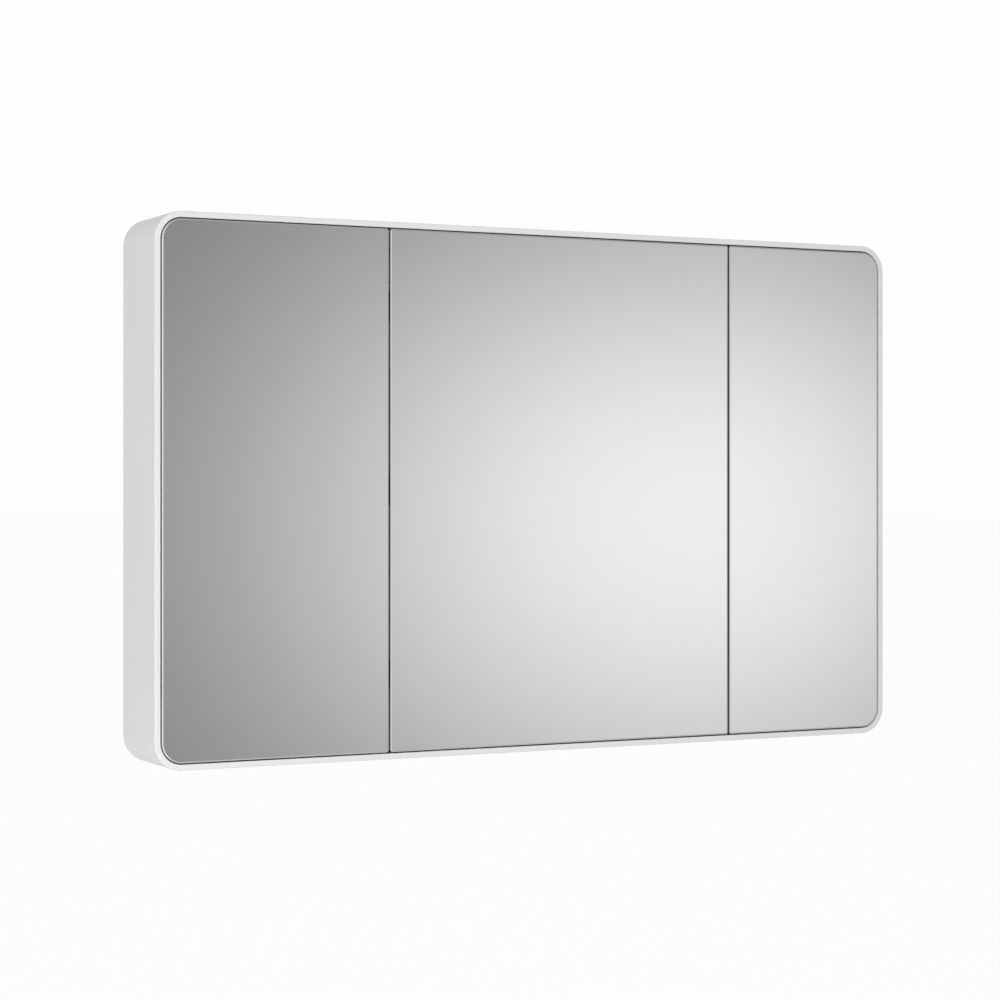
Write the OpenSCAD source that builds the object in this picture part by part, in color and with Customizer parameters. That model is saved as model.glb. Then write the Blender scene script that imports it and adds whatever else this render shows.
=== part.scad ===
// Three-door mirror cabinet for a bathroom wall.
// X runs to the right, Y towards the wall and Z up. The front faces -Y.
// The origin is the centre of the back, on the wall.

/* [Surround] */
// Overall width
cabinet_w = 1200; // [1000:1:1500]
// Overall height
cabinet_h = 762; // [630:1:950]
// Overall depth
cabinet_d = 134; // [110:1:180]
// Thickness of the surround's wall
wall_t = 8.2; // [6.8:0.1:10]
// Radius of the surround's outer corners
corner_r = 39.5; // [30:0.5:60]
// Rounding of the front outer edge
front_edge_r = 2.3; // [0.5:0.1:3]
// Rounding of the front inner edge
inner_edge_r = 0.6; // [0.2:0.1:1]
// Rounding of the back outer edge
back_edge_r = 1; // [0.5:0.1:2]
// Width of the rebate that holds the back panel
rebate_w = 4; // [2:0.1:5]

/* [Doors] */
// Width of the left door
left_door_w = 337; // [250:0.5:420]
// Width of the right door
right_door_w = 273.3; // [220:0.1:340]
// Gap between a door and the surround
rim_gap = 2.8; // [2.6:0.1:4]
// Gap between two doors
door_gap = 2.6; // [2.4:0.1:3.4]
// Depth of the mirrors behind the surround's front edge
door_recess = 0.5; // [0:0.1:2]
// Thickness of the front mirrors
mirror_t = 4; // [3:0.1:5]
// Width of the polished edge round each front mirror
arris_w = 1.2; // [0.5:0.1:2]
// Depth of the polished edge round each front mirror
arris_d = 0.6; // [0.3:0.1:1]
// Corner radius where two doors meet
meeting_r = 3; // [2.5:0.1:6]
// Thickness of the door cores
core_t = 13; // [12:0.1:16]
// Distance of a core's edge behind the edge of its mirror
core_setback = 1; // [0.5:0.1:2]
// Thickness of the inner mirrors
inner_mirror_t = 3; // [2:0.1:4]
// Clear strip of core above and below an inner mirror
inner_mirror_margin = 14; // [10:1:40]
// Clear strip of core beside an inner mirror at the hinges
inner_mirror_hinge_margin = 66; // [64:1:90]
// Clear strip of core beside an inner mirror at the latch
inner_mirror_latch_margin = 38; // [37:1:60]

/* [Inside] */
// Thickness of the back panel
back_t = 4; // [3:0.1:6]
// Thickness of the partitions
partition_t = 16; // [14:0.1:19]
// Rounding of the partitions' front edges
partition_edge_r = 1; // [0.5:0.1:2]
// Thickness of the glass shelves
shelf_t = 6; // [5:0.1:8]
// Distance of the shelves behind the surround's front edge
shelf_setback = 39; // [38:1:50]
// Height of the space above the upper shelves
upper_space_h = 250; // [200:1:280]
// Height of the lower shelves above the surround's floor
lower_space_h = 250; // [200:1:280]
// Step between the shelf pin holes
pin_step = 32; // [16:1:32]

/* [Wall fixing] */
// Distance of the fixing holes from the cabinet's sides
fixing_inset_x = 120; // [80:1:150]
// Distance of the fixing holes from the top and bottom
fixing_inset_z = 61; // [50:1:100]
// Radius of the fixing holes
fixing_hole_r = 3.5; // [2.5:0.1:4]

/* [Hinges] */
// Distance of the hinges from the ends of the doors
hinge_inset_z = 110; // [80:1:130]
// Distance of the hinge pin from the door's edge
pin_inset = 26; // [25:0.1:28]
// Radius of the hinge pins
hinge_pin_r = 1.5; // [1.2:0.1:1.7]
// Radius of the hinge knuckles
knuckle_r = 3.1; // [2.8:0.1:3.2]
// Radius of the hinge cups
cup_r = 20; // [18:0.5:24]
// Thickness of the mounting plates
hinge_plate_t = 6; // [4:0.1:7]
// Thickness of the hinge arms above their plates
hinge_arm_t = 8; // [6:0.1:9]
// Length of the hinge arms behind their front blocks
hinge_arm_l = 49; // [45:1:60]

/* [Push latches] */
// Radius of the plungers
plunger_r = 4; // [3.5:0.1:5]
// Distance of a plunger's axis from the partition
plunger_reach = 11; // [10:0.1:13]
// Length of a plunger
plunger_l = 31; // [28:1:36]
// Length of a latch housing
latch_l = 50; // [46:1:56]
// Thickness of the strike plates
strike_t = 1; // [0.8:0.1:1.5]

/* [Hidden] */
$fn = 64;

// Clearances
cut = 1;              // how far a cutting tool runs past the face it opens
seat_gap = 0.3;       // between a moving piece and what it comes to rest against
pin_play = 0.05;      // round a pin in its bore
screw_play = 0.1;     // round a screw in its hole
panel_play = 0.2;     // round a panel in its rebate

// Openings inside the surround
in_w = cabinet_w - 2 * wall_t;
in_h = cabinet_h - 2 * wall_t;
front = -cabinet_d;

// Doors: each is drawn from its hinged edge, with X running to its free edge
LEFT = 0;
CENTRE = 1;
RIGHT = 2;
door_h = in_h - 2 * rim_gap;
door_r = corner_r - wall_t - rim_gap;
centre_door_w = in_w - 2 * rim_gap - 2 * door_gap - left_door_w - right_door_w;
left_x0 = -in_w / 2 + rim_gap;
left_x1 = left_x0 + left_door_w;
centre_x0 = left_x1 + door_gap;
centre_x1 = centre_x0 + centre_door_w;
right_x0 = centre_x1 + door_gap;
right_x1 = right_x0 + right_door_w;
HINGED_EDGE = [left_x0, centre_x0, right_x1];
DOOR_W = [left_door_w, centre_door_w, right_door_w];
HINGED_CORNER_R = [door_r, meeting_r, door_r];
mirror_y = front + door_recess;
core_y = mirror_y + mirror_t;
core_back = core_y + core_t;

// Partitions: the left one carries the centre door's hinges, the right one both free edges
stop_gap = 2;         // between the door cores and the partitions
left_partition_x1 = centre_x0 - rim_gap;
left_partition_x0 = left_partition_x1 - partition_t;
right_partition_x0 = centre_x1 + door_gap / 2 - partition_t / 2;
right_partition_x1 = right_partition_x0 + partition_t;
partition_front = core_back + stop_gap;

// Inner faces that look into the three bays: place and direction along X
INTO_BAY = [
    [-in_w / 2, 1], [left_partition_x0, -1],
    [left_partition_x1, 1], [right_partition_x0, -1],
    [right_partition_x1, 1], [in_w / 2, -1],
];
HINGE_FACE = [INTO_BAY[0], INTO_BAY[2], INTO_BAY[5]];
LATCH_FACE = [INTO_BAY[1], INTO_BAY[3], INTO_BAY[4]];

// Shelves and their pins
shelf_gap = 1.5;      // between a shelf's ends and the bay's sides
shelf_back_gap = 2;   // between a shelf and the back panel
shelf_corner_r = 3;
shelf_front = front + shelf_setback;
shelf_back = -back_t - shelf_back_gap;
UPPER = in_h / 2 - upper_space_h - shelf_t;
LOWER = -in_h / 2 + lower_space_h - shelf_t;
pin_r = 2.5;
pin_hole_d = 6;       // depth of the pin holes
pin_drop = 2.5;       // from a shelf's underside down to the pin's axis
pin_collar_r = 4;
pin_collar_t = 1.2;
pin_tongue = [7.8, 7, 3];
PIN_Y = [shelf_front + 16, shelf_back - 16];

// Hinges: sizes along the cabinet's depth count from the front edge
knuckle_gap = 0.4;    // between a knuckle and the back of the glass
pin_y = core_y + knuckle_gap + knuckle_r;
pin_reach = rim_gap + pin_inset;
hinge_z = door_h / 2 - hinge_inset_z;
OUTER_HINGES = [-hinge_z, hinge_z];
CENTRE_HINGES = [-hinge_z, 0, hinge_z];
HINGES = [OUTER_HINGES, CENTRE_HINGES, OUTER_HINGES];
ear_t = 6;
cup_half_h = cup_r;
arm_half_h = cup_half_h - ear_t - seat_gap;
neck_from = 0.5;      // the neck's faces, counted from the pin's axis into the bay
neck_to = 3.5;
arm_block_y = pin_y + pin_inset + 3;
arm_block_l = 6;
arm_body_half_h = 9;
arm_back = arm_block_y + arm_block_l + hinge_arm_l;
cup_x = pin_inset + 6;
cup_centre_x = pin_inset + 12;
cup_play = 0.3;
pocket_half_h = cup_half_h + 2;
flange_t = 1.8;
flange_l = 20;
flange_half_h = cup_r + 14;
cup_screw_x = cup_x + 11;
cup_screw_z = cup_r + 8;
plate_y = arm_block_y + 11;
plate_l = 38;
wing_y = plate_y + 16;
wing_r = 6;
wing_z = 17;
arm_screw_y = [arm_block_y + 16, arm_block_y + 42];

// Push latches
latch_y = core_back + strike_t + seat_gap + 7;
latch_r = plunger_r + 2.5;
latch_bore_r = plunger_r + pin_play;
latch_bore_l = latch_l - 4;
latch_foot_t = 2.5;
latch_foot_half_h = 17;
latch_foot_l = 20;
latch_screw_z = 12;
plunger_y = core_back + strike_t + seat_gap;
magnet_r = plunger_r - 1;
magnet_t = 2.5;
strike_half = 7;
spring_wire_r = 0.45;
spring_turns = 7;
spring_steps = 12;    // stations in one turn
spring_sides = 6;

// Door bumpers
bumper_r = 2.5;
bumper_inset = core_setback + bumper_r + 0.5;
bumper_end = 60;      // from the ends of the door
bumper_t = stop_gap - seat_gap;

// Partition brackets
bracket_l = 40;
bracket_leg = 20;
bracket_t = 2;
bracket_y = -80;
bracket_hole_in = 12;
BRACKET_SCREW_Y = [bracket_y + 10, bracket_y + 30];

// Wall fixing
fixing_x = cabinet_w / 2 - fixing_inset_x;
fixing_z = cabinet_h / 2 - fixing_inset_z;
fixing_plate = [60, 3, 40];
rivet_x = 20;
rivet_r = 2;
rivet_head_r = 3.5;
rivet_head_t = 1;

// Screws: shank radius, head radius, head thickness and shank length
WOOD_SCREW = [1.75, 3.4, 2, 11.4];
ARM_SCREW = [2, 3.5, 1.6, 12.5];
SHORT_SCREW = [1.5, 2.8, 1.4, 7.5];
PANEL_SCREW_Z = [for (k = [-3, -1, 1, 3]) k * in_h / 8];
panel_screw_r = 1.75;
panel_screw_head_r = 3.4;
panel_screw_l = 22;

// ---------- Shared shapes ----------

// A rectangle centred on the origin, with one corner radius at each side
module rounded_outline(w, h, r_left, r_right) {
    translate([-w / 2 + r_left, -h / 2]) square([w - r_left - r_right, h]);
    translate([-w / 2, -h / 2 + r_left]) square([r_left, h - 2 * r_left]);
    translate([w / 2 - r_right, -h / 2 + r_right]) square([r_right, h - 2 * r_right]);
    for (s = [-1, 1]) {
        translate([-w / 2 + r_left, s * (h / 2 - r_left)]) circle(r_left);
        translate([w / 2 - r_right, s * (h / 2 - r_right)]) circle(r_right);
    }
}

// An upright plate with rounded corners, from Y = 0 to Y = t
module plate(w, h, r_left, r_right, t) {
    translate([0, t, 0]) rotate([90, 0, 0]) linear_extrude(t)
        rounded_outline(w, h, r_left, r_right);
}

// Carries a profile round the plate's outline: the profile's X points out of the
// outline, which is at X = 0, and its Y is the depth
module round_outline(w, h, r_left, r_right) {
    for (end = [0, 1]) mirror([0, 0, end]) {
        translate([w / 2 - r_right, 0, h / 2]) rotate([0, -90, 0])
            linear_extrude(w - r_left - r_right) children();
        translate([w / 2 - r_right, 0, -h / 2 + r_right]) rotate([-90, 0, 0])
            rotate_extrude(angle = 90) translate([r_right, 0]) children();
        mirror([1, 0, 0]) translate([w / 2 - r_left, 0, -h / 2 + r_left])
            rotate([-90, 0, 0]) rotate_extrude(angle = 90)
            translate([r_left, 0]) children();
    }
    translate([w / 2, 0, -h / 2 + r_right]) linear_extrude(h - 2 * r_right) children();
    mirror([1, 0, 0]) translate([w / 2, 0, -h / 2 + r_left])
        linear_extrude(h - 2 * r_left) children();
}

// Cuts a square corner of a profile back to a radius: the kept side is -X, +Y
module corner_cut(r) {
    difference() {
        translate([0, -r - cut]) square([r + cut, r + cut]);
        circle(r);
    }
}

// A cylinder along +X from the origin
module rod_x(l, r) {
    rotate([0, 90, 0]) cylinder(h = l, r = r);
}

// A cylinder along +Y from the origin
module rod_y(l, r) {
    rotate([-90, 0, 0]) cylinder(h = l, r = r);
}

// A pan-head screw that points along -Z, with its head on the plane Z = 0
module screw(kind) {
    socket_r = kind[0] * 0.7;
    socket_d = kind[2] * 0.6;
    translate([0, 0, -kind[3]]) cylinder(h = kind[3], r = kind[0]);
    difference() {
        cylinder(h = kind[2], r = kind[1]);
        translate([0, 0, kind[2] - socket_d])
            cylinder(h = socket_d + cut, r = socket_r, $fn = 6);
    }
}

// The hole for such a screw
module screw_hole(kind) {
    translate([0, 0, -kind[3] - screw_play])
        cylinder(h = kind[3] + screw_play + cut, r = kind[0] + screw_play);
}

// Draws from a door's hinged edge, with X running to its free edge
module in_door(d) {
    translate([HINGED_EDGE[d], 0, 0])
        if (d == RIGHT) mirror([1, 0, 0]) children();
        else children();
}

// Draws from a face inside the cabinet, with X running into its bay
module on_face(face) {
    translate([face[0], 0, 0])
        if (face[1] < 0) mirror([1, 0, 0]) children();
        else children();
}

// ---------- Places of the fasteners ----------

module at_plate_screws(d) {
    for (z = HINGES[d], s = [-1, 1]) on_face(HINGE_FACE[d])
        translate([hinge_plate_t, wing_y, z + s * wing_z]) rotate([0, 90, 0]) children();
}

module at_arm_screws(d) {
    for (z = HINGES[d], y = arm_screw_y) on_face(HINGE_FACE[d])
        translate([hinge_plate_t + hinge_arm_t, y, z]) rotate([0, 90, 0]) children();
}

module at_cup_screws(d) {
    for (z = HINGES[d], s = [-1, 1]) in_door(d)
        translate([cup_screw_x, core_back + flange_t, z + s * cup_screw_z])
        rotate([-90, 0, 0]) children();
}

module at_latch_screws(d) {
    for (s = [-1, 1]) on_face(LATCH_FACE[d])
        translate([latch_foot_t, latch_y + latch_l / 2, s * latch_screw_z])
        rotate([0, 90, 0]) children();
}

// Brackets stand on the left partition's left face and the right one's right face
BRACKET_FACES = [INTO_BAY[1], INTO_BAY[4]];

module at_bracket_wall_screws() {
    for (face = BRACKET_FACES, y = BRACKET_SCREW_Y, end = [0, 1]) mirror([0, 0, end])
        on_face(face) translate([bracket_hole_in, y, in_h / 2 - bracket_t])
        rotate([180, 0, 0]) children();
}

module at_bracket_partition_screws(k) {
    for (y = BRACKET_SCREW_Y, end = [0, 1]) mirror([0, 0, end])
        on_face(BRACKET_FACES[k])
        translate([bracket_t, y, in_h / 2 - bracket_hole_in]) rotate([0, 90, 0]) children();
}

module at_panel_screws() {
    for (x = [left_partition_x0, right_partition_x0], z = PANEL_SCREW_Z)
        translate([x + partition_t / 2, 0, z]) children();
}

module at_fixings() {
    for (x = [-fixing_x, fixing_x], z = [-fixing_z, fixing_z]) translate([x, 0, z])
        children();
}

module shelf_pin_holes(face) {
    for (z = [UPPER, LOWER], y = PIN_Y, k = [-1, 0, 1]) on_face(face)
        translate([-pin_hole_d, y, z - pin_drop + k * pin_step])
        rod_x(pin_hole_d + cut, pin_r + pin_play);
}

// ---------- Cabinet ----------

module surround_profile() {
    difference() {
        translate([-wall_t, front]) square([wall_t, cabinet_d]);
        translate([-front_edge_r, front + front_edge_r]) corner_cut(front_edge_r);
        translate([-wall_t + inner_edge_r, front + inner_edge_r]) mirror([1, 0])
            corner_cut(inner_edge_r);
        translate([-back_edge_r, -back_edge_r]) mirror([0, 1]) corner_cut(back_edge_r);
        translate([-wall_t - cut, -back_t]) square([rebate_w + cut, back_t + cut]);
    }
}

module surround_frame() {
    color("white") difference() {
        round_outline(cabinet_w, cabinet_h, corner_r, corner_r) surround_profile();
        shelf_pin_holes(INTO_BAY[0]);
        shelf_pin_holes(INTO_BAY[5]);
        at_plate_screws(LEFT) screw_hole(WOOD_SCREW);
        at_plate_screws(RIGHT) screw_hole(WOOD_SCREW);
        at_bracket_wall_screws() screw_hole(SHORT_SCREW);
    }
}

module back_panel() {
    r = corner_r - wall_t + rebate_w - panel_play;
    color("whitesmoke") translate([0, -back_t, 0]) difference() {
        plate(in_w + 2 * (rebate_w - panel_play), in_h + 2 * (rebate_w - panel_play), r, r, back_t);
        at_fixings() {
            translate([0, -cut, 0]) rod_y(back_t + 2 * cut, fixing_hole_r);
            for (s = [-1, 1]) translate([s * rivet_x, -cut, 0])
                rod_y(back_t + 2 * cut, rivet_r + screw_play);
        }
        translate([0, back_t, 0]) at_panel_screws() panel_screw_hole();
    }
}

// A board across the cabinet's depth, from X = 0, with its front edges rounded
module partition_board() {
    r = partition_edge_r;
    depth = -back_t - partition_front;
    translate([0, partition_front, -in_h / 2]) linear_extrude(in_h) {
        translate([0, r]) square([partition_t, depth - r]);
        translate([r, 0]) square([partition_t - 2 * r, depth]);
        for (x = [r, partition_t - r]) translate([x, r]) circle(r);
    }
}

module left_partition() {
    color("whitesmoke") difference() {
        translate([left_partition_x0, 0, 0]) partition_board();
        shelf_pin_holes(INTO_BAY[1]);
        shelf_pin_holes(INTO_BAY[2]);
        at_plate_screws(CENTRE) screw_hole(WOOD_SCREW);
        at_latch_screws(LEFT) screw_hole(SHORT_SCREW);
        at_bracket_partition_screws(0) screw_hole(SHORT_SCREW);
        at_panel_screws() panel_screw_hole();
    }
}

module right_partition() {
    color("whitesmoke") difference() {
        translate([right_partition_x0, 0, 0]) partition_board();
        shelf_pin_holes(INTO_BAY[3]);
        shelf_pin_holes(INTO_BAY[4]);
        at_latch_screws(CENTRE) screw_hole(SHORT_SCREW);
        at_latch_screws(RIGHT) screw_hole(SHORT_SCREW);
        at_bracket_partition_screws(1) screw_hole(SHORT_SCREW);
        at_panel_screws() panel_screw_hole();
    }
}

// Angle brackets that hold the partitions' ends to the surround
module partition_brackets() {
    color("silver") difference() {
        for (face = BRACKET_FACES, end = [0, 1]) mirror([0, 0, end]) on_face(face) {
            translate([0, bracket_y, in_h / 2 - bracket_leg])
                cube([bracket_t, bracket_l, bracket_leg]);
            translate([0, bracket_y, in_h / 2 - bracket_t])
                cube([bracket_leg, bracket_l, bracket_t]);
        }
        at_bracket_wall_screws() screw_hole(SHORT_SCREW);
        for (k = [0, 1]) at_bracket_partition_screws(k) screw_hole(SHORT_SCREW);
    }
}

module bracket_screws() {
    color("silver") {
        at_bracket_wall_screws() screw(SHORT_SCREW);
        for (k = [0, 1]) at_bracket_partition_screws(k) screw(SHORT_SCREW);
    }
}

// A countersunk screw along -Y, flush with the plane Y = 0, and its hole
module panel_screw_body(play, past) {
    head_l = panel_screw_head_r - panel_screw_r;
    rotate([90, 0, 0]) {
        cylinder(h = panel_screw_l + play, r = panel_screw_r + play);
        cylinder(h = head_l, r1 = panel_screw_head_r + play, r2 = panel_screw_r + play);
        if (past > 0) translate([0, 0, -past]) cylinder(h = past, r = panel_screw_head_r + play);
    }
}

module panel_screw_hole() {
    panel_screw_body(screw_play, cut);
}

module back_panel_screws() {
    color("silver") at_panel_screws() panel_screw_body(0, 0);
}

// Steel plates inside the outer bays that spread the load of the wall screws
module wall_fixing_plates() {
    color("silver") at_fixings() difference() {
        translate([0, -back_t - fixing_plate[1], 0])
            plate(fixing_plate[0], fixing_plate[2], 4, 4, fixing_plate[1]);
        translate([0, -back_t - fixing_plate[1] - cut, 0])
            rod_y(fixing_plate[1] + 2 * cut, fixing_hole_r);
        for (s = [-1, 1]) translate([s * rivet_x, -back_t - fixing_plate[1] - cut, 0])
            rod_y(fixing_plate[1] + 2 * cut, rivet_r + screw_play);
    }
}

module fixing_plate_rivets() {
    inside = -back_t - fixing_plate[1];
    color("silver") at_fixings() for (s = [-1, 1]) translate([s * rivet_x, inside, 0]) {
        rod_y(-inside, rivet_r);
        translate([0, -rivet_head_t, 0]) rod_y(rivet_head_t, rivet_head_r);
    }
}

// ---------- Shelves ----------

// A shelf between two inner faces, with its underside at Z = z
module shelf(from, to, z) {
    x0 = from[0] + shelf_gap;
    w = to[0] - shelf_gap - x0;
    depth = shelf_back - shelf_front;
    color("lightcyan", 0.5) translate([x0 + w / 2, (shelf_front + shelf_back) / 2, z])
        linear_extrude(shelf_t) rounded_outline(w, depth, shelf_corner_r, shelf_corner_r);
}

module left_upper_shelf() { shelf(INTO_BAY[0], INTO_BAY[1], UPPER); }
module left_lower_shelf() { shelf(INTO_BAY[0], INTO_BAY[1], LOWER); }
module centre_upper_shelf() { shelf(INTO_BAY[2], INTO_BAY[3], UPPER); }
module centre_lower_shelf() { shelf(INTO_BAY[2], INTO_BAY[3], LOWER); }
module right_upper_shelf() { shelf(INTO_BAY[4], INTO_BAY[5], UPPER); }
module right_lower_shelf() { shelf(INTO_BAY[4], INTO_BAY[5], LOWER); }

// Each pin has a peg in its hole, a collar and a flat tongue under the glass
module shelf_pins() {
    color("silver") for (face = INTO_BAY, z = [UPPER, LOWER], y = PIN_Y)
        on_face(face) translate([0, y, z - pin_drop]) {
            translate([-pin_hole_d + screw_play, 0, 0]) rod_x(pin_hole_d - screw_play, pin_r);
            rod_x(pin_collar_t, pin_collar_r);
            translate([pin_collar_t, -pin_tongue[1] / 2, pin_drop - pin_tongue[2]])
                cube(pin_tongue);
        }
}

// ---------- Hinges ----------

// A cross-shaped plate that is screwed to the cabinet
module hinge_plates(d) {
    color("silver") difference() {
        for (z = HINGES[d]) on_face(HINGE_FACE[d]) translate([0, 0, z]) {
            translate([0, plate_y, -arm_body_half_h - 1])
                cube([hinge_plate_t, plate_l, 2 * (arm_body_half_h + 1)]);
            translate([0, wing_y - wing_r, -wing_z]) cube([hinge_plate_t, 2 * wing_r, 2 * wing_z]);
            for (s = [-1, 1]) translate([0, wing_y, s * wing_z]) rod_x(hinge_plate_t, wing_r);
        }
        at_plate_screws(d) screw_hole(WOOD_SCREW);
        at_arm_screws(d) screw_hole(ARM_SCREW);
    }
}

module left_hinge_plates() { hinge_plates(LEFT); }
module centre_hinge_plates() { hinge_plates(CENTRE); }
module right_hinge_plates() { hinge_plates(RIGHT); }

module hinge_plate_screws() {
    color("silver") for (d = [LEFT, CENTRE, RIGHT]) at_plate_screws(d) screw(WOOD_SCREW);
}

// Each arm lies on its plate and carries the fixed knuckle round the hinge pin
module hinge_arms(d) {
    neck_l = arm_block_y + arm_block_l - pin_y;
    color("silver") difference() {
        for (z = HINGES[d]) on_face(HINGE_FACE[d]) {
            translate([0, 0, z - arm_half_h]) linear_extrude(2 * arm_half_h) {
                translate([pin_reach, pin_y]) circle(knuckle_r);
                translate([pin_reach + neck_from, pin_y]) square([neck_to - neck_from, neck_l]);
                translate([hinge_plate_t, arm_block_y])
                    square([pin_reach + neck_to - hinge_plate_t, arm_block_l]);
            }
            translate([hinge_plate_t, arm_block_y, z - arm_body_half_h])
                cube([hinge_arm_t, arm_block_l + hinge_arm_l, 2 * arm_body_half_h]);
        }
        for (z = HINGES[d]) on_face(HINGE_FACE[d])
            translate([pin_reach, pin_y, z - arm_half_h - cut])
            cylinder(h = 2 * (arm_half_h + cut), r = hinge_pin_r + pin_play);
        at_arm_screws(d) screw_hole(ARM_SCREW);
    }
}

module left_hinge_arms() { hinge_arms(LEFT); }
module centre_hinge_arms() { hinge_arms(CENTRE); }
module right_hinge_arms() { hinge_arms(RIGHT); }

module hinge_arm_screws() {
    color("silver") for (d = [LEFT, CENTRE, RIGHT]) at_arm_screws(d) screw(ARM_SCREW);
}

// The outline of a cup seen from the front, open towards the door's hinged edge
module cup_outline() {
    intersection() {
        union() {
            translate([cup_centre_x, 0]) circle(cup_r);
            translate([cup_x, -cup_half_h]) square([cup_centre_x - cup_x, 2 * cup_half_h]);
        }
        translate([cup_x, -cup_half_h]) square([2 * cup_r, 2 * cup_half_h]);
    }
}

// Each cup fills the pocket in the door core and has two ears round the hinge pin
module hinge_cups(d) {
    cup_front = pin_y - knuckle_r;
    color("silver") difference() {
        for (z = HINGES[d]) in_door(d) translate([0, 0, z]) {
            translate([0, core_back, 0]) rotate([90, 0, 0])
                linear_extrude(core_back - cup_front) cup_outline();
            translate([cup_screw_x, core_back, 0])
                plate(flange_l, 2 * flange_half_h, 4, 4, flange_t);
            for (low = [-cup_half_h, cup_half_h - ear_t]) translate([0, 0, low])
                linear_extrude(ear_t) {
                    translate([pin_inset, pin_y]) circle(knuckle_r);
                    translate([pin_inset, cup_front]) square([cup_centre_x - pin_inset, 2 * knuckle_r]);
                }
        }
        for (z = HINGES[d]) in_door(d) translate([pin_inset, pin_y, z - cup_half_h - cut])
            cylinder(h = 2 * (cup_half_h + cut), r = hinge_pin_r + pin_play);
        at_cup_screws(d) screw_hole(SHORT_SCREW);
    }
}

module left_hinge_cups() { hinge_cups(LEFT); }
module centre_hinge_cups() { hinge_cups(CENTRE); }
module right_hinge_cups() { hinge_cups(RIGHT); }

// Each pin runs through both ears and has a flat head at each end
module hinge_pins(d) {
    head_t = 1;
    color("gray") for (z = HINGES[d]) in_door(d) translate([pin_inset, pin_y, z]) {
        translate([0, 0, -cup_half_h]) cylinder(h = 2 * cup_half_h, r = hinge_pin_r);
        for (low = [-cup_half_h - head_t, cup_half_h]) translate([0, 0, low])
            cylinder(h = head_t, r = hinge_pin_r + head_t);
    }
}

module left_hinge_pins() { hinge_pins(LEFT); }
module centre_hinge_pins() { hinge_pins(CENTRE); }
module right_hinge_pins() { hinge_pins(RIGHT); }

module cup_screws(d) {
    color("silver") at_cup_screws(d) screw(SHORT_SCREW);
}

module left_cup_screws() { cup_screws(LEFT); }
module centre_cup_screws() { cup_screws(CENTRE); }
module right_cup_screws() { cup_screws(RIGHT); }

// ---------- Push latches ----------

module latch_housing(d) {
    color("gainsboro") difference() {
        on_face(LATCH_FACE[d]) translate([0, latch_y, 0]) {
            translate([plunger_reach, 0, 0]) rod_y(latch_l, latch_r);
            translate([0, 0, -latch_r + 1]) cube([plunger_reach, latch_l, 2 * (latch_r - 1)]);
            translate([0, (latch_l - latch_foot_l) / 2, -latch_foot_half_h])
                cube([latch_foot_t, latch_foot_l, 2 * latch_foot_half_h]);
        }
        on_face(LATCH_FACE[d]) translate([plunger_reach, latch_y - cut, 0])
            rod_y(latch_bore_l + cut, latch_bore_r);
        at_latch_screws(d) screw_hole(SHORT_SCREW);
    }
}

module left_latch_housing() { latch_housing(LEFT); }
module centre_latch_housing() { latch_housing(CENTRE); }
module right_latch_housing() { latch_housing(RIGHT); }

module latch_screws() {
    color("silver") for (d = [LEFT, CENTRE, RIGHT]) at_latch_screws(d) screw(SHORT_SCREW);
}

// One coil spring along +Y from the origin
module coil_spring(l, coil_r) {
    stations = spring_turns * spring_steps;
    points = [
        for (i = [0 : stations], j = [0 : spring_sides - 1])
            let (
                a = 360 * i / spring_steps,
                b = 360 * j / spring_sides,
                reach = coil_r + spring_wire_r * cos(b),
                y = spring_wire_r + (l - 2 * spring_wire_r) * i / stations
            )
            [reach * cos(a), y + spring_wire_r * sin(b), reach * sin(a)],
    ];
    sides = [
        for (i = [0 : stations - 1], j = [0 : spring_sides - 1], half = [0, 1])
            let (
                next = (j + 1) % spring_sides,
                p = i * spring_sides + j,
                q = i * spring_sides + next
            )
            half == 0 ? [p, q + spring_sides, q] : [p, p + spring_sides, q + spring_sides],
    ];
    first = [for (j = [0 : spring_sides - 1]) j];
    last = [for (j = [spring_sides - 1 : -1 : 0]) stations * spring_sides + j];
    polyhedron(points = points, faces = concat(sides, [first, last]));
}

module latch_springs() {
    from = plunger_y + plunger_l + screw_play;
    to = latch_y + latch_bore_l - screw_play;
    color("gray") for (d = [LEFT, CENTRE, RIGHT]) on_face(LATCH_FACE[d])
        translate([plunger_reach, from, 0])
        coil_spring(to - from, latch_bore_r - 2 * spring_wire_r);
}

module latch_plunger(d) {
    color("lightgray") on_face(LATCH_FACE[d]) translate([plunger_reach, plunger_y, 0])
        difference() {
            rod_y(plunger_l, plunger_r);
            translate([0, -cut, 0]) rod_y(magnet_t + cut, magnet_r + pin_play);
        }
}

module left_latch_plunger() { latch_plunger(LEFT); }
module centre_latch_plunger() { latch_plunger(CENTRE); }
module right_latch_plunger() { latch_plunger(RIGHT); }

module latch_magnet(d) {
    color("dimgray") on_face(LATCH_FACE[d]) translate([plunger_reach, plunger_y, 0])
        rod_y(magnet_t, magnet_r);
}

module left_latch_magnet() { latch_magnet(LEFT); }
module centre_latch_magnet() { latch_magnet(CENTRE); }
module right_latch_magnet() { latch_magnet(RIGHT); }

// ---------- Doors ----------

// The front glass, with a flat polished edge cut round its face
module front_mirror(d) {
    w = DOOR_W[d];
    hinged_r = HINGED_CORNER_R[d];
    color("lightgray") in_door(d) translate([w / 2, mirror_y, 0]) difference() {
        plate(w, door_h, hinged_r, meeting_r, mirror_t);
        round_outline(w, door_h, hinged_r, meeting_r)
            polygon([[-arris_w, 0], [-arris_w, -cut], [cut, -cut], [cut, arris_d], [0, arris_d]]);
    }
}

module left_mirror() { front_mirror(LEFT); }
module centre_mirror() { front_mirror(CENTRE); }
module right_mirror() { front_mirror(RIGHT); }

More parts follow.
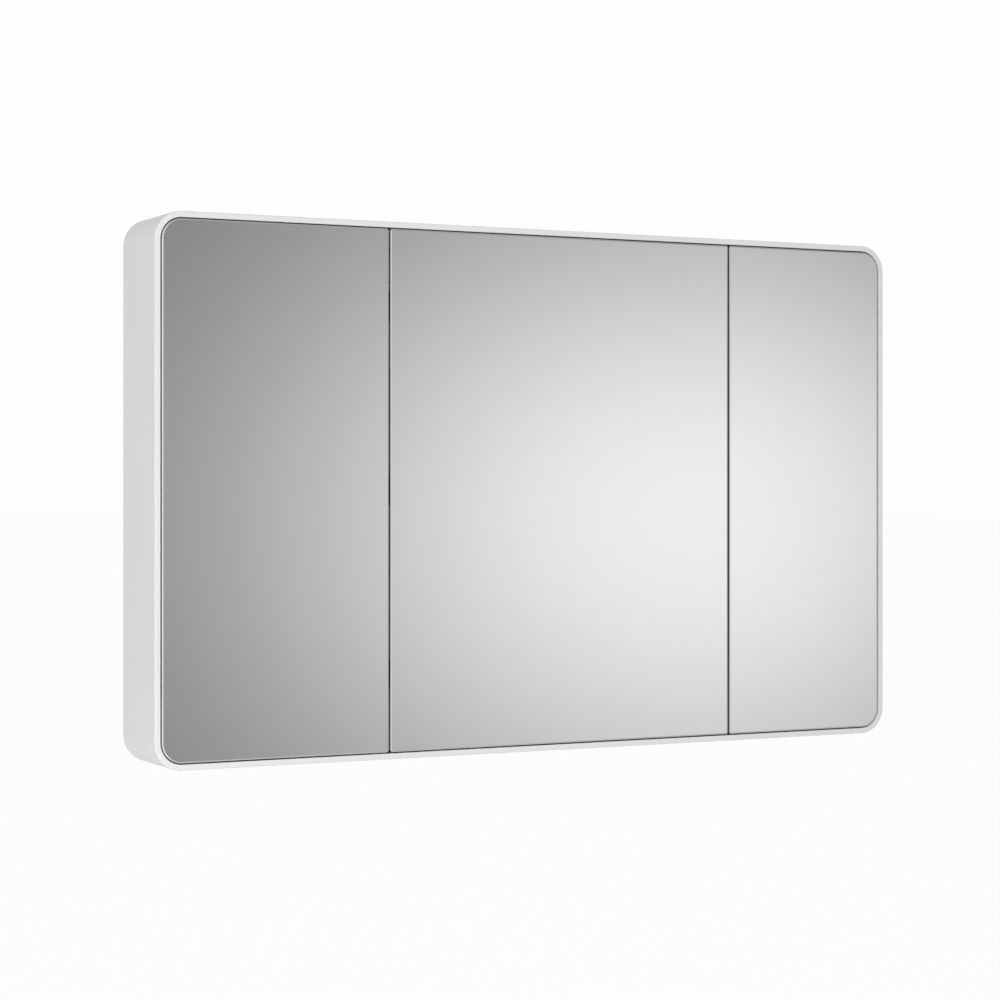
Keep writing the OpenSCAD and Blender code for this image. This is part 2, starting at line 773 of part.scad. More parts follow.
// The white board behind each mirror, with a pocket for each hinge cup
module door_core(d) {
    w = DOOR_W[d] - 2 * core_setback;
    hinged_r = HINGED_CORNER_R[d] - core_setback;
    color("whitesmoke") difference() {
        in_door(d) difference() {
            translate([DOOR_W[d] / 2, core_y, 0])
                plate(w, door_h - 2 * core_setback, hinged_r, meeting_r - core_setback, core_t);
            for (z = HINGES[d]) translate([0, core_y - cut, z]) {
                translate([-cut, 0, -pocket_half_h])
                    cube([cup_centre_x + cut, core_t + 2 * cut, 2 * pocket_half_h]);
                translate([cup_centre_x, 0, 0]) rod_y(core_t + 2 * cut, cup_r + cup_play);
            }
        }
        at_cup_screws(d) screw_hole(SHORT_SCREW);
    }
}

module left_door_core() { door_core(LEFT); }
module centre_door_core() { door_core(CENTRE); }
module right_door_core() { door_core(RIGHT); }

module inner_mirror(d) {
    w = DOOR_W[d] - inner_mirror_hinge_margin - inner_mirror_latch_margin;
    color("lightgray") in_door(d) translate([inner_mirror_hinge_margin + w / 2, core_back, 0])
        plate(w, door_h - 2 * inner_mirror_margin, meeting_r, meeting_r, inner_mirror_t);
}

module left_inner_mirror() { inner_mirror(LEFT); }
module centre_inner_mirror() { inner_mirror(CENTRE); }
module right_inner_mirror() { inner_mirror(RIGHT); }

// The steel plate that the latch's magnet holds
module strike_plate(d) {
    face = LATCH_FACE[d];
    x = abs(face[0] + face[1] * plunger_reach - HINGED_EDGE[d]);
    color("silver") in_door(d) translate([x, core_back, 0])
        plate(2 * strike_half, 2 * strike_half, 2, 2, strike_t);
}

module left_strike_plate() { strike_plate(LEFT); }
module centre_strike_plate() { strike_plate(CENTRE); }
module right_strike_plate() { strike_plate(RIGHT); }

// Clear buffers that meet the partitions when a door closes
module bumpers(d) {
    color("white", 0.5) for (s = [-1, 1]) in_door(d)
        translate([DOOR_W[d] - bumper_inset, core_back, s * (door_h / 2 - bumper_end)])
        rod_y(bumper_t, bumper_r);
}

module left_bumpers() { bumpers(LEFT); }
module centre_bumpers() { bumpers(CENTRE); }
module right_bumpers() { bumpers(RIGHT); }

surround_frame();
back_panel();
left_partition();
right_partition();
partition_brackets();
bracket_screws();
back_panel_screws();
wall_fixing_plates();
fixing_plate_rivets();
left_upper_shelf();
left_lower_shelf();
centre_upper_shelf();
centre_lower_shelf();
right_upper_shelf();
right_lower_shelf();
shelf_pins();
left_hinge_plates();
centre_hinge_plates();
right_hinge_plates();
hinge_plate_screws();
left_hinge_arms();
centre_hinge_arms();
right_hinge_arms();
hinge_arm_screws();
left_latch_housing();
centre_latch_housing();
right_latch_housing();
latch_springs();
latch_screws();
left_latch_plunger();
centre_latch_plunger();
right_latch_plunger();
left_latch_magnet();
centre_latch_magnet();
right_latch_magnet();
left_mirror();
centre_mirror();
right_mirror();
left_door_core();
centre_door_core();
right_door_core();
left_inner_mirror();
centre_inner_mirror();
right_inner_mirror();
left_hinge_cups();
centre_hinge_cups();
right_hinge_cups();
left_hinge_pins();
centre_hinge_pins();
right_hinge_pins();
left_cup_screws();
centre_cup_screws();
right_cup_screws();
left_strike_plate();
centre_strike_plate();
right_strike_plate();
left_bumpers();
centre_bumpers();
right_bumpers();
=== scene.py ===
"""Looks of a three-door mirror cabinet: finishes, glass and surround in detail, studio and camera."""

import logging
import math
from dataclasses import dataclass
from enum import Enum

import bmesh
import bpy
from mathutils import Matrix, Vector

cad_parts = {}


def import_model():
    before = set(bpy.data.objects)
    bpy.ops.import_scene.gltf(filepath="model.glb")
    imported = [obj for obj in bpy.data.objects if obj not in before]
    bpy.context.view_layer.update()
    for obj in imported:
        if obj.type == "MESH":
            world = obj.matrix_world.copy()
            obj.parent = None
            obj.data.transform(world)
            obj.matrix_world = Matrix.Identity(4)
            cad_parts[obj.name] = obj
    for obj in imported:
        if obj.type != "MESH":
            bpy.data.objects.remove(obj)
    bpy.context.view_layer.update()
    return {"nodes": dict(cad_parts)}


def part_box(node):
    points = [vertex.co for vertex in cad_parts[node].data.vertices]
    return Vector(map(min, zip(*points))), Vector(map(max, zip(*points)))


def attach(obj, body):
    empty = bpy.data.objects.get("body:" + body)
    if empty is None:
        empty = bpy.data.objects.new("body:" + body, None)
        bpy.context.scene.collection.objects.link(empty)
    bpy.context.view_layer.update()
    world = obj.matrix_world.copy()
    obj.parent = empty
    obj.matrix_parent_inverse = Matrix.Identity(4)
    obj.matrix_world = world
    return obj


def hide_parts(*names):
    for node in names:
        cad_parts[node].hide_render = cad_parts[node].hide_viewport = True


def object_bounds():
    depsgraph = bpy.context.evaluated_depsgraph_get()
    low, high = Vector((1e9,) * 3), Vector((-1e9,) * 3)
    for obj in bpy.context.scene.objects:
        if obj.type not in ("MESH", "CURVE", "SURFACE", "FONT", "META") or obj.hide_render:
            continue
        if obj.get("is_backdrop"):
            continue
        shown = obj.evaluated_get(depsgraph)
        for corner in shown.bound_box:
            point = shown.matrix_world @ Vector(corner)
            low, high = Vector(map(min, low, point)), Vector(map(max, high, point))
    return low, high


LOG = logging.getLogger("mirror_cabinet")
MM = 0.001
# The last slot holds painted shade: a near-black edge where two doors meet, standing in for the shade in the
# gap between them.
FACE_SLOT, ARRIS_SLOT, GROUND_SLOT, BACK_SLOT, PAINTED_SHADE_SLOT = range(5)


class Side(Enum):
    """The three doors, by the name their CAD nodes start with."""

    LEFT = "left"
    CENTRE = "centre"
    RIGHT = "right"


class Effect(Enum):
    """Shader groups that the finishes share."""

    ORANGE_PEEL = "orange_peel"
    BRUSHED = "brushed_lines"
    MOULDED = "moulded_skin"
    HANDLED_GLASS = "handled_glass"


# ---------------------------------------------------------------- shader groups


@dataclass
class Nodes:
    """Short way to add and link nodes in one tree."""

    tree: bpy.types.NodeTree

    def add(self, kind: str, **settings: object) -> bpy.types.Node:
        """Adds a node and sets its plain properties."""
        node = self.tree.nodes.new(kind)
        for name, value in settings.items():
            setattr(node, name, value)
        return node

    def link(self, source: bpy.types.NodeSocket, target: bpy.types.NodeSocket) -> None:
        """Links one socket to another."""
        self.tree.links.new(source, target)

    def maths(self, operation: str, first: object, second: object = 0.0) -> bpy.types.NodeSocket:
        """Adds a Math node.

        Args:
            operation: Name of the operation.
            first: Socket or number for the first value.
            second: Socket or number for the second value.

        Returns:
            The socket with the result.
        """
        node = self.add("ShaderNodeMath", operation=operation)
        for socket, value in zip(node.inputs, (first, second)):
            if isinstance(value, bpy.types.NodeSocket):
                self.link(value, socket)
            else:
                socket.default_value = value
        return node.outputs[0]

    def noise(self, place: bpy.types.NodeSocket, scale: float, detail: float = 3.0) -> bpy.types.NodeSocket:
        """Adds a noise texture and returns its value."""
        node = self.add("ShaderNodeTexNoise")
        node.inputs["Scale"].default_value = scale
        node.inputs["Detail"].default_value = detail
        self.link(place, node.inputs["Vector"])
        return node.outputs["Fac"]

    def spread(self, value: bpy.types.NodeSocket, low: float, high: float,
               start: float = 0.3, end: float = 0.7) -> bpy.types.NodeSocket:
        """Maps a value's middle range on to low to high.

        Args:
            value: Socket with the value.
            low: Result at start.
            high: Result at end.
            start: Value that gives low.
            end: Value that gives high.

        Returns:
            The socket with the result.
        """
        node = self.add("ShaderNodeMapRange")
        node.inputs["From Min"].default_value = start
        node.inputs["From Max"].default_value = end
        node.inputs["To Min"].default_value = low
        node.inputs["To Max"].default_value = high
        self.link(value, node.inputs["Value"])
        return node.outputs["Result"]


@dataclass(frozen=True)
class EffectGroup:
    """A shader group with object coordinates inside and two results: Tone and Height.

    Fine sets how close together the fine marks are, in marks per metre.
    """

    effect: Effect
    fine: float
    broad: float
    stretch: tuple[float, float, float] = (1.0, 1.0, 1.0)
    cell_scale: float = 0.6
    cell_share: float = 0.5
    broad_share: float = 0.75

    def build(self) -> bpy.types.NodeTree:
        """Makes the group, or returns it where it is made already."""
        made = bpy.data.node_groups.get(self.effect.value)
        if made:
            return made
        tree = bpy.data.node_groups.new(self.effect.value, "ShaderNodeTree")
        tree.interface.new_socket("Spread", in_out="INPUT", socket_type="NodeSocketFloat")
        tree.interface.new_socket("Tone", in_out="OUTPUT", socket_type="NodeSocketFloat")
        tree.interface.new_socket("Height", in_out="OUTPUT", socket_type="NodeSocketFloat")
        nodes = Nodes(tree)
        given = nodes.add("NodeGroupInput")
        result = nodes.add("NodeGroupOutput")
        place = nodes.add("ShaderNodeTexCoord").outputs["Object"]
        mapping = nodes.add("ShaderNodeMapping")
        mapping.inputs["Scale"].default_value = self.stretch
        nodes.link(place, mapping.inputs["Vector"])
        stretched = mapping.outputs["Vector"]
        broad = nodes.noise(place, self.broad, 4.0)
        fine = nodes.noise(stretched, self.fine, 2.0)
        cells = nodes.add("ShaderNodeTexVoronoi", feature="SMOOTH_F1")
        cells.inputs["Scale"].default_value = self.fine * self.cell_scale
        nodes.link(stretched, cells.inputs["Vector"])
        height = nodes.maths("ADD", fine, nodes.maths("MULTIPLY", cells.outputs["Distance"], self.cell_share))
        fine_part = nodes.maths("MULTIPLY", fine, 1.0 - self.broad_share)
        mixed = nodes.maths("ADD", nodes.maths("MULTIPLY", broad, self.broad_share), fine_part)
        centred = nodes.maths("SUBTRACT", mixed, 0.5)
        spread = nodes.maths("MULTIPLY", centred, given.outputs["Spread"])
        nodes.link(nodes.maths("ADD", spread, 0.5), result.inputs["Tone"])
        nodes.link(height, result.inputs["Height"])
        return tree


GROUPS = {
    Effect.ORANGE_PEEL: EffectGroup(Effect.ORANGE_PEEL, fine=900.0, broad=5.0),
    Effect.BRUSHED: EffectGroup(Effect.BRUSHED, fine=260.0, broad=20.0, stretch=(1.0, 14.0, 14.0)),
    Effect.MOULDED: EffectGroup(Effect.MOULDED, fine=2400.0, broad=30.0),
    Effect.HANDLED_GLASS: EffectGroup(Effect.HANDLED_GLASS, fine=40.0, broad=2.5, stretch=(1.0, 1.0, 1.6)),
}


# ---------------------------------------------------------------- finishes


@dataclass(frozen=True)
class Finish:
    """A finish with a dark and a light tone, a roughness range and a fine bump."""

    name: str
    dark: tuple[float, float, float]
    light: tuple[float, float, float]
    rough: tuple[float, float]
    effect: Effect
    metallic: float = 0.0
    coat: float = 0.0
    bump: float = 0.05
    relief: float = 0.0002
    transmission: float = 0.0
    ior: float = 1.5
    spread: float = 1.6

    def build(self) -> bpy.types.Material:
        """Makes the material, or returns it where it is made already."""
        made = bpy.data.materials.get("finish_" + self.name)
        if made:
            return made
        material = bpy.data.materials.new("finish_" + self.name)
        material.use_nodes = True
        material.node_tree.nodes.clear()
        nodes = Nodes(material.node_tree)
        shader = nodes.add("ShaderNodeBsdfPrincipled")
        output = nodes.add("ShaderNodeOutputMaterial")
        nodes.link(shader.outputs["BSDF"], output.inputs["Surface"])
        group = nodes.add("ShaderNodeGroup", node_tree=GROUPS[self.effect].build())
        group.inputs["Spread"].default_value = self.spread
        blend = nodes.add("ShaderNodeMix", data_type="RGBA")
        blend.inputs["A"].default_value = (*self.dark, 1.0)
        blend.inputs["B"].default_value = (*self.light, 1.0)
        nodes.link(nodes.spread(group.outputs["Tone"], 0.0, 1.0), blend.inputs["Factor"])
        nodes.link(blend.outputs["Result"], shader.inputs["Base Color"])
        nodes.link(nodes.spread(group.outputs["Tone"], *self.rough), shader.inputs["Roughness"])
        relief = nodes.add("ShaderNodeBump")
        relief.inputs["Strength"].default_value = self.bump
        relief.inputs["Distance"].default_value = self.relief
        nodes.link(group.outputs["Height"], relief.inputs["Height"])
        nodes.link(relief.outputs["Normal"], shader.inputs["Normal"])
        shader.inputs["Metallic"].default_value = self.metallic
        shader.inputs["Coat Weight"].default_value = self.coat
        shader.inputs["IOR"].default_value = self.ior
        shader.inputs["Transmission Weight"].default_value = self.transmission
        return material


FINISHES = {
    "white_coated_metal": Finish(
        "white_coated_metal", (0.80, 0.802, 0.804), (0.83, 0.832, 0.834), (0.46, 0.54),
        Effect.ORANGE_PEEL, bump=0.02, relief=0.00003),
    "white_panel": Finish(
        "white_panel", (0.78, 0.785, 0.79), (0.81, 0.813, 0.82), (0.40, 0.50),
        Effect.ORANGE_PEEL, bump=0.10, relief=0.00008),
    "white_board": Finish(
        "white_board", (0.78, 0.785, 0.79), (0.815, 0.818, 0.822), (0.42, 0.52),
        Effect.MOULDED, bump=0.08, relief=0.00006),
    "mirror": Finish(
        "mirror", (0.886, 0.886, 0.892), (0.899, 0.899, 0.906), (0.0, 0.012),
        Effect.HANDLED_GLASS, metallic=1.0, bump=0.002, relief=0.00002),
    "clear_glass": Finish(
        "clear_glass", (0.95, 0.98, 0.97), (0.97, 0.99, 0.98), (0.0, 0.02),
        Effect.HANDLED_GLASS, coat=0.8, bump=0.01, relief=0.00002, transmission=1.0, ior=1.1),
    "nickel": Finish(
        "nickel", (0.60, 0.58, 0.55), (0.68, 0.66, 0.63), (0.18, 0.30),
        Effect.BRUSHED, metallic=1.0, bump=0.04, relief=0.00004),
    "zinc_steel": Finish(
        "zinc_steel", (0.55, 0.56, 0.58), (0.66, 0.67, 0.69), (0.26, 0.40),
        Effect.BRUSHED, metallic=1.0, bump=0.08, relief=0.00005),
    "spring_steel": Finish(
        "spring_steel", (0.42, 0.43, 0.45), (0.52, 0.53, 0.55), (0.22, 0.34),
        Effect.BRUSHED, metallic=1.0, bump=0.05, relief=0.00004),
    "grey_plastic": Finish(
        "grey_plastic", (0.36, 0.37, 0.38), (0.42, 0.43, 0.44), (0.42, 0.55),
        Effect.MOULDED, bump=0.18, relief=0.00008),
    "pale_plastic": Finish(
        "pale_plastic", (0.66, 0.67, 0.68), (0.72, 0.73, 0.74), (0.38, 0.50),
        Effect.MOULDED, bump=0.15, relief=0.00006),
    "magnet": Finish(
        "magnet", (0.10, 0.10, 0.11), (0.16, 0.16, 0.17), (0.45, 0.60),
        Effect.MOULDED, metallic=0.6, bump=0.20, relief=0.00008),
    "clear_rubber": Finish(
        "clear_rubber", (0.78, 0.80, 0.80), (0.84, 0.86, 0.86), (0.22, 0.34),
        Effect.MOULDED, bump=0.05, relief=0.00004, transmission=0.6, ior=1.42),
    "mirror_arris": Finish(
        "mirror_arris", (0.885, 0.885, 0.890), (0.912, 0.912, 0.918), (0.03, 0.08),
        Effect.HANDLED_GLASS, metallic=1.0, bump=0.02, relief=0.00002),
    "ground_edge": Finish(
        "ground_edge", (0.40, 0.43, 0.42), (0.48, 0.51, 0.50), (0.28, 0.40),
        Effect.MOULDED, coat=0.3, bump=0.08, relief=0.00004),
    # Painted shade: a near-black edge finish that stands in for the shade in the narrow gaps between the
    # doors.
    "painted_gap_shade": Finish(
        "painted_gap_shade", (0.020, 0.021, 0.023), (0.035, 0.036, 0.038), (0.35, 0.50),
        Effect.MOULDED, bump=0.08, relief=0.00004),
    "glass_edge": Finish(
        "glass_edge", (0.30, 0.52, 0.45), (0.46, 0.66, 0.58), (0.08, 0.20),
        Effect.HANDLED_GLASS, coat=0.6, bump=0.06, relief=0.00004, transmission=0.35, ior=1.1),
    "mirror_backing": Finish(
        "mirror_backing", (0.30, 0.32, 0.34), (0.36, 0.38, 0.40), (0.50, 0.62),
        Effect.MOULDED, bump=0.12, relief=0.00006),
}


# ---------------------------------------------------------------- mesh helpers


@dataclass(frozen=True)
class Outline:
    """A rounded rectangle in the XZ plane, with one radius for each end."""

    x0: float
    x1: float
    z0: float
    z1: float
    r_left: float
    r_right: float
    steps: int = 24

    def points(self, inset: float = 0.0) -> list[tuple[float, float]]:
        """Points round the outline, anticlockwise seen from the front, drawn in by inset."""
        corners = (
            (self.x1, self.z0, -1, 1, self.r_right, -90),
            (self.x1, self.z1, -1, -1, self.r_right, 0),
            (self.x0, self.z1, 1, -1, self.r_left, 90),
            (self.x0, self.z0, 1, 1, self.r_left, 180),
        )
        found = []
        for x, z, sx, sz, r, start in corners:
            left_over = max(r - inset, 0.0)
            cx, cz = x + sx * max(r, inset), z + sz * max(r, inset)
            for i in range(self.steps + 1):
                a = math.radians(start + 90 * i / self.steps)
                found.append((cx + left_over * math.cos(a), cz + left_over * math.sin(a)))
        return found


class Piece:
    """A mesh piece built with bmesh, with its finishes and the body that it rides on."""

    def __init__(self, name: str, finishes: list[str]) -> None:
        """Starts an empty piece with finishes in slot order."""
        self.name = name
        self.finishes = finishes
        self.bm = bmesh.new()

    def ring(self, points: list[tuple[float, float]], y: float) -> list[bmesh.types.BMVert]:
        """Adds a ring of vertices at depth y."""
        return [self.bm.verts.new((x, y, z)) for x, z in points]

    def join(self, first: list[bmesh.types.BMVert], second: list[bmesh.types.BMVert], slot: int = 0) -> None:
        """Closes the strip between two rings with quads."""
        for i, vert in enumerate(first):
            j = (i + 1) % len(first)
            face = self.bm.faces.new((vert, first[j], second[j], second[i]))
            face.material_index = slot
            face.smooth = True

    def cap(self, ring: list[bmesh.types.BMVert], slot: int = 0) -> None:
        """Fills a ring with one flat face."""
        face = self.bm.faces.new(ring)
        face.material_index = slot

    def finish(self, body: str, replaces: str, slot: str, sharp: float = 32.0) -> bpy.types.Object:
        """Makes the object.

        Args:
            body: CAD body that the piece rides on.
            replaces: CAD node that the piece stands for.
            slot: Material slot of the record; not used.
            sharp: Angle in degrees from which an edge stays sharp.

        Returns:
            The finished object.
        """
        bmesh.ops.remove_doubles(self.bm, verts=self.bm.verts, dist=1e-7)
        bmesh.ops.recalc_face_normals(self.bm, faces=self.bm.faces)
        mesh = bpy.data.meshes.new(self.name)
        self.bm.to_mesh(mesh)
        self.bm.free()
        mesh.set_sharp_from_angle(angle=math.radians(sharp))
        for finish in self.finishes:
            mesh.materials.append(FINISHES[finish].build())
        obj = bpy.data.objects.new(self.name, mesh)
        bpy.context.scene.collection.objects.link(obj)
        obj.modifiers.new("even_shading", "WEIGHTED_NORMAL").keep_sharp = True
        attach(obj, body)
        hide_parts(replaces)
        LOG.info("%s: %d faces on %s", self.name, len(mesh.polygons), body)
        return obj


# ---------------------------------------------------------------- sub-assemblies


@dataclass(frozen=True)
class Surround:
    """The coated metal hoop with its soft front edge."""

    wall: float = 8.2 * MM
    corner_r: float = 39.5 * MM
    front_edge_r: float = 2.3 * MM
    inner_edge_r: float = 0.6 * MM
    back_edge_r: float = 1.0 * MM
    rebate: float = 4.0 * MM
    back_t: float = 4.0 * MM
    edge_steps: int = 8

    def edge(self, cx: float, cy: float, r: float, start: float) -> list[tuple[float, float]]:
        """Quarter turn round (cx, cy) from the start angle, as (inset, y) pairs."""
        turn = [math.radians(start + 90 * i / self.edge_steps) for i in range(self.edge_steps + 1)]
        return [(cx + r * math.cos(a), cy + r * math.sin(a)) for a in turn]

    def profile(self, front: float) -> list[tuple[float, float]]:
        """Section of the wall as (inset from the outside, y), closed."""
        f, i, b = self.front_edge_r, self.inner_edge_r, self.back_edge_r
        return [
            *self.edge(b, -b, b, 90),
            *self.edge(f, front + f, f, 180),
            *self.edge(self.wall - i, front + i, i, 270),
            (self.wall, -self.back_t),
            (self.wall - self.rebate, -self.back_t),
            (self.wall - self.rebate, 0.0),
        ]

    def build(self) -> bpy.types.Object:
        """Sweeps the section round the outline."""
        low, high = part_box("surround_frame")
        outline = Outline(low.x, high.x, low.z, high.z, self.corner_r, self.corner_r, steps=40)
        piece = Piece("surround", ["white_coated_metal"])
        rings = [piece.ring(outline.points(inset), y) for inset, y in self.profile(low.y)]
        for first, second in zip(rings, rings[1:] + rings[:1]):
            piece.join(first, second)
        return piece.finish("cabinet", "surround_frame", "white_coated_metal", sharp=40.0)


@dataclass(frozen=True)
class Pane:
    """A sheet of mirror or clear glass with ground arrises."""

    r_left: float
    r_right: float
    arris_w: float = 1.2 * MM
    arris_d: float = 0.6 * MM
    back_arris: float = 0.3 * MM
    proud_x: float = 0.0
    proud_z: float = 0.0

    def build(self, node: str, name: str, body: str, finishes: list[str], slot: str) -> bpy.types.Object:
        """Builds the pane in the box of its CAD node.

        Args:
            node: CAD node that gives the size.
            name: Name of the piece.
            body: CAD body that the pane rides on.
            finishes: Finishes of the face, its arris, the ground edge and the back, and
            where another door is next to it the near-black painted shade of the gap between the doors.
            slot: Material slot of the record; handed on to Piece.finish, which does not use it.

        Returns:
            The finished pane.
        """
        low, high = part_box(node)
        left = self.proud_x if self.r_left > self.r_right else 0.0
        right = self.proud_x if self.r_right > self.r_left else 0.0
        outline = Outline(low.x - left, high.x + right, low.z - self.proud_z, high.z + self.proud_z,
                          self.r_left, self.r_right)
        piece = Piece(name, finishes)
        face = piece.ring(outline.points(self.arris_w), low.y)
        edge = piece.ring(outline.points(), low.y + self.arris_d)
        back_edge = piece.ring(outline.points(), high.y - self.back_arris)
        back = piece.ring(outline.points(self.back_arris), high.y)
        piece.cap(face, FACE_SLOT)
        piece.join(face, edge, ARRIS_SLOT)
        piece.join(edge, back_edge, GROUND_SLOT)
        piece.join(back_edge, back, GROUND_SLOT)
        piece.cap(back, BACK_SLOT)
        # Edges where two doors meet get the near-black painted gap shade.
        if len(finishes) > PAINTED_SHADE_SLOT:
            self.paint_gap_shade(piece, low.x, high.x)
        return piece.finish(body, node, slot, sharp=12.0)


    def paint_gap_shade(self, piece: Piece, x0: float, x1: float) -> None:
        """Gives the upright edges that meet another door the near-black finish, painted shade of the gap
        between the doors.
        """
        for face in piece.bm.faces:
            x = face.calc_center_median().x
            left = self.r_left < self.r_right * 2 and x < x0 + self.r_left
            right = self.r_right < self.r_left * 2 and x > x1 - self.r_right
            if face.material_index == GROUND_SLOT and (left or right):
                face.material_index = PAINTED_SHADE_SLOT


@dataclass(frozen=True)
class Shelf:
    """A clear glass shelf with polished green edges all round."""

    corner_r: float = 2.0 * MM
    arris: float = 0.5 * MM

    def build(self, node: str) -> bpy.types.Object:
        """Builds the shelf in the box of its CAD node."""
        low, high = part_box(node)
        piece = Piece(node.replace("_shelf", "_glass"), ["clear_glass", "glass_edge"])
        bm = piece.bm
        corners = ((low.x, low.y), (high.x, low.y), (high.x, high.y), (low.x, high.y))
        base = bm.faces.new([bm.verts.new((x, y, low.z)) for x, y in corners])
        grown = bmesh.ops.extrude_face_region(bm, geom=[base])
        top = [v for v in grown["geom"] if isinstance(v, bmesh.types.BMVert)]
        bmesh.ops.translate(bm, verts=top, vec=Vector((0, 0, high.z - low.z)))
        upright = [e for e in bm.edges if abs(e.verts[0].co.z - e.verts[1].co.z) > self.arris]
        bmesh.ops.bevel(bm, geom=upright, offset=self.corner_r, segments=5, profile=0.5,
                        affect="EDGES", material=-1)
        bmesh.ops.recalc_face_normals(bm, faces=bm.faces)
        rim = [e for e in bm.edges if abs(e.verts[0].co.z - e.verts[1].co.z) < 1e-6]
        bmesh.ops.bevel(bm, geom=rim, offset=self.arris, segments=2, profile=0.5,
                        affect="EDGES", material=-1)
        bm.normal_update()
        for f in bm.faces:
            flat = abs(f.normal.z) > 0.999
            f.material_index = 0 if flat else 1
            f.smooth = not flat
        return piece.finish("cabinet", node, "clear_glass")


@dataclass(frozen=True)
class Door:
    """The glass on one door: the front mirror and the one inside."""

    side: Side
    outer_r: float = 28.5 * MM
    meeting_r: float = 3.0 * MM
    arris_w: float = 1.9 * MM
    proud_x: float = 0.4 * MM
    proud_z: float = 0.9 * MM

    def radii(self) -> tuple[float, float]:
        """Corner radii at the door's left and right."""
        left = self.outer_r if self.side is Side.LEFT else self.meeting_r
        right = self.outer_r if self.side is Side.RIGHT else self.meeting_r
        return left, right

    def build(self) -> list[bpy.types.Object]:
        """Builds both panes of the door."""
        side, body = self.side.value, self.side.value + "_door"
        # The last front finish is painted shade on the edges where the doors meet.
        front = Pane(*self.radii(), self.arris_w, proud_x=self.proud_x, proud_z=self.proud_z).build(
            side + "_mirror", side + "_front_pane", body,
            ["mirror", "mirror_arris", "ground_edge", "mirror_backing", "painted_gap_shade"], "mirror")
        inner = Pane(self.meeting_r, self.meeting_r, 0.3 * MM, 0.3 * MM, 0.6 * MM).build(
            side + "_inner_mirror", side + "_inner_pane", body,
            ["mirror_backing", "ground_edge", "mirror_arris", "mirror"], "mirror")
        return [front, inner]


def dress_frame(nodes: dict[str, bpy.types.Object]) -> None:
    """Gives each CAD node that stays in view the finish of its material slot."""
    for name, obj in nodes.items():
        for slot in obj.material_slots:
            slot.material = FINISHES[slot.material.name.split(".")[0]].build()
        LOG.info("%s: finished", name)


# ---------------------------------------------------------------- studio


